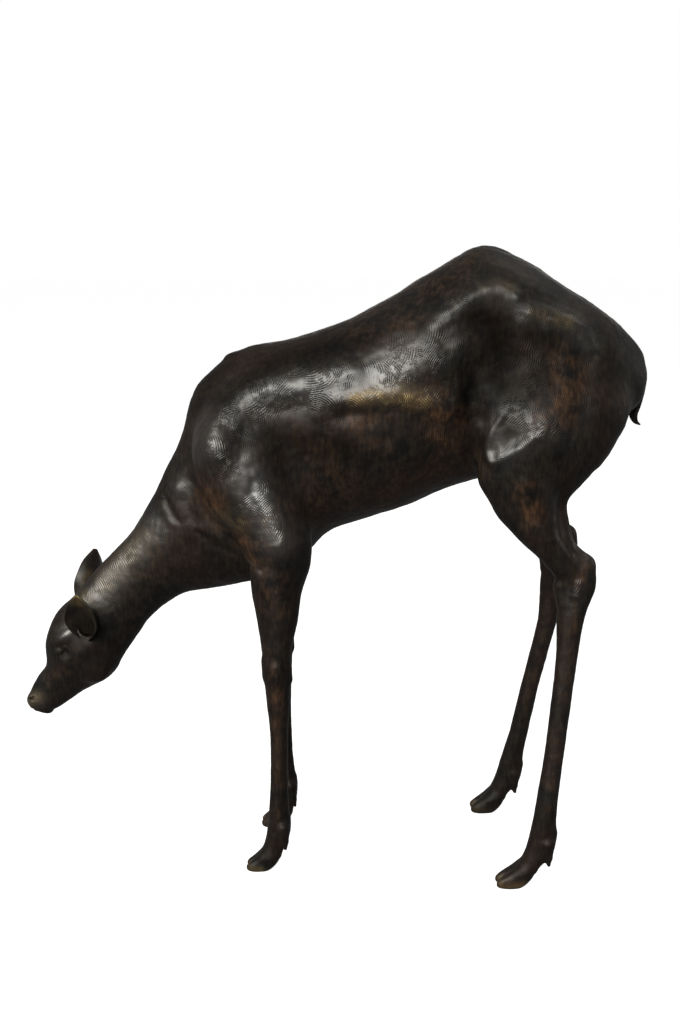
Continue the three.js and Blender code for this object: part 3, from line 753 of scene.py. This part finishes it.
# Where the comb marks run strongest: line, width, strength
COMBED = [
    ([(-66, -40, 320), (-20, -38, 330), (40, -42, 340), (84, -40, 345)], 24, 1.0),
    ([(-70, -40, 290), (-50, -45, 260), (-36, -46, 240)], 22, 0.9),
    ([(84, -42, 330), (70, -42, 310)], 20, 0.9), ([(10, -42, 327), (66, -42, 328)], 9, 1.3),
    ([(130, -46, 350), (120, -48, 325), (140, -48, 310)], 20, 0.8),
    ([(0, -42, 300), (40, -42, 290)], 28, 0.5),
    ([(-150, -14, 190), (-110, -16, 235)], 12, 0.32),
    ([(80, -32, 386), (110, -30, 392), (150, -32, 375)], 10, 0.5),
    ([(-34, -40, 220), (-34, -36, 150), (-34, -34, 20)], 12, 0.3),
    ([(140, -46, 250), (158, -45, 200)], 13, 0.5),
    ([(-78, -32, 270), (-66, -40, 250), (-44, -42, 226)], 18, 0.7),
]
# What the patina reads from each piece: its places, and its strength everywhere else
ZONES = {"rub_and_highlight": (RUBBED_AND_HIGHLIT, 0.0), "tint": (WARMED, 0.08), "comb": (COMBED, 0.28),
         "polish": (POLISHED, 0.08), "painted_shade": (PAINTED_SHADE_LINES, 0.0)}
PROUD = 0.7    # tool marks of this height, in millimetres, catch the most light


def paint(piece):
    """Writes the zones and how proud the surface stands, and gives the piece its patina."""
    count = len(piece.data.vertices)
    points = np.empty(count * 3)
    piece.data.vertices.foreach_get("co", points)
    points = points.reshape(-1, 3) / MM
    left = to_left(points)
    zones = {}
    for name, (places, base) in ZONES.items():
        total = np.full(count, base)
        for line, width, strength in places:
            total = np.maximum(total, near_line(left, line, width) * strength)
        zones[name] = total
    zones["proud"] = np.clip(tool_marks(points) / PROUD, -1, 1) * 0.5 + 0.5
    for name, values in zones.items():
        layer = piece.data.attributes.new(name, "FLOAT", "POINT")
        layer.data.foreach_set("value", values.astype(np.float32))
    piece.data.materials.clear()
    piece.data.materials.append(PATINA)


# ---- sculpting the pieces

# Bumps of the spine that break the outline of the back: x, z, turn
SPINE = [(-57, 347.4, -4), (-46, 348.4, 0), (62, 392.4, 26), (97, 413.4, 10), (107, 413.4, -8),
         (119, 407.6, -26), (131, 401, -28)]
LIMB_BLEND = 9    # width of the fillet between a limb and the trunk


def to_right(points, limb):
    """Turns points of a left limb into those of the right one, with its stride."""
    points[:, 0] += np.interp(points[:, 2], *limb["stride"])
    points[:, 1] *= -1


def add_limb(clay, limb, side):
    """Joins a whole limb to a block of clay, with the stride of its side."""
    rings = limb_rings(limb)
    if side == RIGHT:
        for ring in rings:
            to_right(ring, limb)
    clay.loft(rings, LIMB_BLEND)


def sculpt_trunk():
    """Torso and neck with the roots of the limbs, before the relief."""
    clay = Clay((-168, -58, 152), (212, 58, 428), step=1.0)
    clay.loft(trunk_rings())
    for limb in (HIND, FORE):
        for side in (LEFT, RIGHT):
            add_limb(clay, limb, side)
    for x, z, turn in SPINE:
        clay.ball((x, 0, z), (8, 5, 3.5), 5, turn)
    return clay.mesh()


def sculpt_leg(limb):
    """A left leg, from above its seam down to the sole of its cloven hoof."""
    toe, heel, scale, y = limb["toe"], limb["heel"], limb["scale"], limb["stations"][-1][1]
    top = limb["cut"] + 6
    near = limb["stations"][limb["stations"][:, 2] < top + 30]
    # room in front and behind for the hoof and the widest ring
    low = (near[:, 0].min() - 32, near[:, 1].min() - 14, -4)
    high = (near[:, 0].max() + 38, near[:, 1].max() + 22, top)
    clay = Clay(low, high, step=0.7, band=8)
    clay.loft(limb_rings(limb))
    for half in (LEFT, RIGHT):
        clay.loft(claw_rings(limb, half), 4)
        dew_y = y + half * DEWCLAW_SPREAD
        clay.bone((heel - 0.6, dew_y, 33), (heel - 0.4, dew_y, 23), 4.6, 3.2, 2)
        clay.bone((heel - 0.2, dew_y, 23), (heel + 0.5, dew_y, 17.6), 3.0, 1.3, 1)
    # the cleft between the claws, in front and underneath
    clay.carve((toe - 3, y, 2), (toe + 8 * scale, y, 9 * scale), 0.8, 0.4, 1.6)
    clay.carve((toe - 3, y, -1), (toe + 24 * scale, y, 0), 1.6, 1.4, 1.2)
    for bone in HIND_BONES if limb is HIND else FORE_BONES:
        clay.bone(*bone)
    window, (_, _, z) = clay.window(low, high)
    clay.field[window] = np.maximum(clay.field[window], -z)    # flat soles
    return clay.mesh()


# Bones that show at the joints: start, end, both radii, blend
HIND_BONES = [
    ((165.6, -40.5, 220), (164.4, -40, 213), 6.4, 6, 4),  # point of the hock
    ((150, -40, 206), (152, -41, 196), 4.5, 4, 4),
    ((161, -45, 209), (159, -46, 202), 4, 3, 3),
    ((148, -52, 38), (147.5, -52, 30), 5, 4.5, 3),  # fetlock
]
FORE_BONES = [
    ((-37.6, -32, 151), (-37.6, -32, 142), 5, 4.6, 4),  # knee
    ((-28, -32, 146), (-27, -32, 139), 4.2, 3.8, 3),
    ((-33, -37, 149), (-33, -37, 141), 4, 3.6, 3),
    ((-30, -31, 37), (-30, -31, 29), 4.6, 4.4, 3),
]


def sculpt_head():
    """The head and the start of the neck, before the relief. Features are given on the left side."""
    clay = Clay((-216, -34, 94), (-116, 34, 212), step=0.55, band=10)
    clay.loft(trunk_rings())
    for side in (LEFT, RIGHT):
        def at(x, y, z, side=side):
            return (x, -side * y, z)
        clay.bone(at(-176, -13, 145), at(-160, -14.5, 156), 3, 4, 6)  # cheek bone
        clay.ball(at(-161, -10, 141), (13, 6.5, 9), 6, -50)  # jaw
        clay.carve(at(-186, -17, 151), at(-178, -20, 153), 3.6, 4.4, 3)  # eye socket
        clay.ball(at(-180.6, -12.6, 152.6), (4.6, 3.4, 3.6), 0.8, 35)  # eyeball
        clay.ball(at(-176, -14, 163), (8.4, 4, 3.8), 3, 38)  # brow
        clay.bone(at(-187, -10, 156.4), at(-182.5, -13.2, 157.4), 1.0, 1.3, 1.6)  # upper lid
        clay.bone(at(-182.5, -13.2, 157.4), at(-176, -15.4, 155.6), 1.3, 1.2, 1.6)
        clay.bone(at(-176, -15.4, 155.6), at(-172, -16, 152), 1.1, 0.8, 1.6)
        clay.bone(at(-186.6, -10, 150), at(-181.5, -12.8, 148.4), 0.8, 1.1, 1.6)  # lower lid
        clay.bone(at(-181.5, -12.8, 148.4), at(-174.5, -15, 150.4), 1.1, 0.7, 1.6)
        clay.bone(at(-163, -8, 165), at(-162, -9, 168), 4, 3, 5)  # root of the ear
        clay.carve(at(-162, -25, 176), at(-160.5, -13, 168), 7, 5.4, 1.5)  # hollow of the ear
        clay.ball(at(-203, -4, 113), (4.4, 3.4, 4), 3, -60)  # side of the nose
        clay.carve(at(-206.4, -5, 113.6), at(-203, -7.4, 115.4), 0.7, 1.1, 1)  # nostril
        clay.carve(at(-208.6, 0, 105.8), at(-203, -6, 105.6), 0.6, 0.7, 1)  # mouth
        clay.carve(at(-203, -6.6, 105.6), at(-194, -8.4, 108.6), 0.7, 0.7, 1)
        clay.carve(at(-194, -8.4, 108.6), at(-187, -9.6, 112.8), 0.7, 0.35, 1)
    clay.ball((-196, 0, 105.4), (5, 5, 3), 3, -30)  # chin
    return clay.mesh()


def make_mesh(name, points, faces):
    """A Blender object from points in millimetres."""
    mesh = bpy.data.meshes.new(name)
    faces = np.asarray(faces)
    mesh.vertices.add(len(points))
    mesh.vertices.foreach_set("co", (points * MM).astype(np.float32).ravel())
    mesh.loops.add(faces.size)
    mesh.loops.foreach_set("vertex_index", faces.astype(np.int32).ravel())
    mesh.polygons.add(len(faces))
    mesh.polygons.foreach_set("loop_start", np.arange(0, faces.size, faces.shape[1], dtype=np.int32))
    mesh.update(calc_edges=True)
    mesh.validate()
    return put_in_scene(name, mesh)


def vertex_normals(points, quads):
    a, b, c, d = (points[quads[:, corner]] for corner in range(4))
    diagonal = np.cross(c - a, d - b)
    normal = np.zeros_like(points)
    for corner in range(4):
        np.add.at(normal, quads[:, corner], diagonal)
    return normal / np.maximum(np.linalg.norm(normal, axis=1, keepdims=True), 1e-9)


def model(points, quads):
    """Presses the relief into a plain surface along its normals."""
    normals = vertex_normals(points, quads)
    points = points + normals * anatomy(points)[:, None]
    normals = vertex_normals(points, quads)
    return points + normals * tool_marks(points)[:, None]


SEAM_GAP = 0.01    # from a seam to the end of each skin, in millimetres


def plane_of(place):
    """Where a seam crosses the trunk, with the way forward towards the head."""
    x, z, lean = curve_at(TRUNK, place)[:3]
    lean = math.radians(lean)
    return np.array([x, 0, z]), np.array([-math.cos(lean), 0, math.sin(lean)])


@contextmanager
def editing(mesh):
    """Opens a mesh for editing and writes it back."""
    work = bmesh.new()
    work.from_mesh(mesh)
    yield work
    work.to_mesh(mesh)
    work.free()


def cut_plane(work, place, normal, **clear):
    """Cuts along a plane, and gives the new edges."""
    everything = [*work.verts, *work.edges, *work.faces]
    result = bmesh.ops.bisect_plane(work, geom=everything, plane_co=place, plane_no=normal, **clear)
    return [e for e in result["geom_cut"] if isinstance(e, bmesh.types.BMEdge)]


def split(piece, point, normal, keep_ahead):
    """Keeps one side of a plane and caps the cut."""
    inset = SEAM_GAP if keep_ahead else -SEAM_GAP
    place = (np.array(point) + np.array(normal) * inset) * MM
    with editing(piece.data) as work:
        rim = cut_plane(work, place, normal, clear_inner=keep_ahead, clear_outer=not keep_ahead)
        bmesh.ops.holes_fill(work, edges=rim, sides=0)


def trim(piece, height, x_from, x_to, side):
    """Takes away what hangs below a height within a span of x on one side, and caps the cut."""
    with editing(piece.data) as work:
        cut_plane(work, (0, 0, (height + SEAM_GAP) * MM), (0, 0, 1))
        middles = [(face, face.calc_center_median()) for face in work.faces]
        gone = [face for face, middle in middles
                if middle.z < height * MM and x_from < middle.x / MM < x_to and middle.y * side > 0]
        bmesh.ops.delete(work, geom=gone, context="FACES")
        rim = [e for e in work.edges if e.is_boundary]
        bmesh.ops.holes_fill(work, edges=rim, sides=0)


def finish_piece(piece, node):
    """Smooths a skin, and makes it ride on the root in place of its casting."""
    piece.data.polygons.foreach_set("use_smooth", [True] * len(piece.data.polygons))
    piece.data.set_sharp_from_angle(angle=math.radians(60))
    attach(piece, "root")
    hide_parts(node)
    return piece


pieces = {}


def make_trunk():
    """The trunk as one surface, parted into the skins of its three castings."""
    points, quads = sculpt_trunk()
    points = model(points, quads)
    whole = make_mesh("trunk", points, quads)
    for side in (LEFT, RIGHT):
        for limb in (HIND, FORE):
            trim(whole, limb["cut"], *limb["span"], side)
    seams = {name: plane_of(place) for name, place in
             (("head", HEAD_SEAM), ("neck", NECK_SEAM), ("torso", TORSO_SEAM))}
    spans = {"neck_skin": ("head", "neck"), "torso_front_skin": ("neck", "torso"),
             "torso_rear_skin": ("torso", None)}
    for name, (front, back) in spans.items():
        piece = put_in_scene(name, whole.data.copy())
        split(piece, *seams[front], keep_ahead=False)
        if back:
            split(piece, *seams[back], keep_ahead=True)
        pieces[name] = finish_piece(piece, name.replace("_skin", ""))
    bpy.data.objects.remove(whole)


def make_head():
    points, quads = sculpt_head()
    piece = make_mesh("head_skin", model(points, quads), quads)
    split(piece, *plane_of(HEAD_SEAM), keep_ahead=True)
    pieces["head_skin"] = finish_piece(piece, "head")


def make_legs():
    """Each pair from one sculpted leg. The right one is its mirror, moved by the stride."""
    for kind, limb in (("fore", FORE), ("hind", HIND)):
        points, quads = sculpt_leg(limb)
        for name, side in (("left", LEFT), ("right", RIGHT)):
            place, faces = points.copy(), quads
            if side == RIGHT:
                to_right(place, limb)
                faces = quads[:, ::-1]
            piece = make_mesh(f"{name}_{kind}_leg_skin", model(place, faces), faces)
            split(piece, (0, 0, limb["cut"]), (0, 0, 1), keep_ahead=False)
            pieces[piece.name] = finish_piece(piece, f"{name}_{kind}_leg")


# Ears: root, tip, the way the cup opens, half widths along the edge and half turn of the cup
LEFT_EAR = {"root": (-159.5, -12, 165), "tip": (-163.4, -31, 196.5), "open": (-0.4, -0.8, -0.45),
            "widths": (10, 15.5, 17, 13.6, 8.4, 1), "curl": (2.5, 1.9, 1.35, 1.1, 0.8, 0.5)}
RIGHT_EAR = {"root": (-166.5, 11, 173), "tip": (-162, 26, 213), "open": (-0.75, 0.55, -0.25),
             "widths": (6, 11.4, 14, 12.6, 9, 1.6), "curl": (2.3, 1.5, 1.1, 0.9, 0.7, 0.5)}

# Tail stations: x, y, z, lean, half depth, half width
TAIL = np.array([
    [193, 0, 357, 50, 3, 6], [200.4, 0, 349, 72, 3.2, 7], [204.4, 0, 337, 90, 3.2, 7],
    [203, 0, 322, 100, 3, 5.6], [200.8, 0, 312, 92, 2.6, 4.2], [202.6, 0, 306.8, 55, 1.6, 2.4],
    [206, 0, 304.3, 45, 0.5, 0.8],
], float)


def unit(vector):
    return vector / np.linalg.norm(vector)


EAR_RINGS, EAR_SIDES = 44, 25    # rings from root to tip, and points across the blade


def make_ear(node, ear):
    """A cupped blade: rings that run out over its back and return along its inside."""
    root, tip = np.array(ear["root"], float), np.array(ear["tip"], float)
    axis = tip - root
    opens = np.array(ear["open"], float)
    opens = unit(opens - unit(axis) * (opens @ unit(axis)))
    across = np.cross(unit(axis), opens)
    widths = np.array(ear["widths"], float)[:, None]
    spots = np.linspace(0, 1, len(widths))
    s = np.linspace(-1, 1, EAR_SIDES)
    rings = []
    for t in np.linspace(0, 1, EAR_RINGS):
        width = curve_at(widths, t * (len(widths) - 1))[0]
        curl = np.interp(t, spots, ear["curl"])
        radius = width / curl
        turn = s * curl
        bow = opens * -3.5 * math.sin(math.pi * t)
        centre = root + axis * t + bow
        middle = centre + np.outer(np.sin(turn), across) * radius \
            + np.outer(1 - np.cos(turn), opens) * radius
        outward = np.outer(np.sin(turn), across) - np.outer(np.cos(turn), opens)
        thick = (1.25 - 0.75 * s ** 4) * (1 - 0.45 * t)
        vein = 0.25 * np.cos(s * 9) * math.sin(math.pi * t)
        outer = middle + outward * thick[:, None]
        inner = middle - outward * (thick + vein)[:, None]
        rings.append(np.concatenate([outer, inner[::-1]]))
    name = f"{node}_skin"
    pieces[name] = finish_piece(skin_mesh(name, rings), node)


def skin_mesh(name, rings):
    """A closed Blender mesh over rings, with fans at both ends."""
    sides, count = len(rings[0]), len(rings)
    points = np.concatenate(rings)
    faces = []
    for r in range(count - 1):
        for k in range(sides):
            a, b = r * sides + k, r * sides + (k + 1) % sides
            faces.append((a, b, b + sides, a + sides))
    faces.append(tuple(range(sides - 1, -1, -1)))
    faces.append(tuple(range((count - 1) * sides, count * sides)))
    mesh = bpy.data.meshes.new(name)
    mesh.from_pydata([tuple(p) for p in points * MM], [], faces)
    with editing(mesh) as work:
        bmesh.ops.recalc_face_normals(work, faces=work.faces)
        bmesh.ops.triangulate(work, faces=[f for f in work.faces if len(f.verts) > 4])
    return put_in_scene(name, mesh)


def make_tail():
    """A short tail with combed hair and a hooked tip."""
    clay = Clay((186, -14, 296), (214, 14, 372), step=0.5, band=6)
    clay.loft([oval((x, y, z), lean, depth, width)
               for x, y, z, lean, depth, width in smooth_curve(TAIL)])
    points, quads = clay.mesh()
    normals = vertex_normals(points, quads)
    hair = np.sin(points[:, 1] * 2.1 + 0.8 * np.sin(points[:, 2] * 0.3)) * 0.35
    points = points + normals * (hair + 0.5 * tool_marks(points))[:, None]
    pieces["tail_skin"] = finish_piece(make_mesh("tail_skin", points, quads), "tail")


make_trunk()
make_head()
make_legs()
make_ear("left_ear", LEFT_EAR)
make_ear("right_ear", RIGHT_EAR)
make_tail()
for piece in pieces.values():
    paint(piece)
for name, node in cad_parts.items():
    if "dowel" in name or "plug" in name:
        node.data.materials.clear()
        node.data.materials.append(BRIGHT)
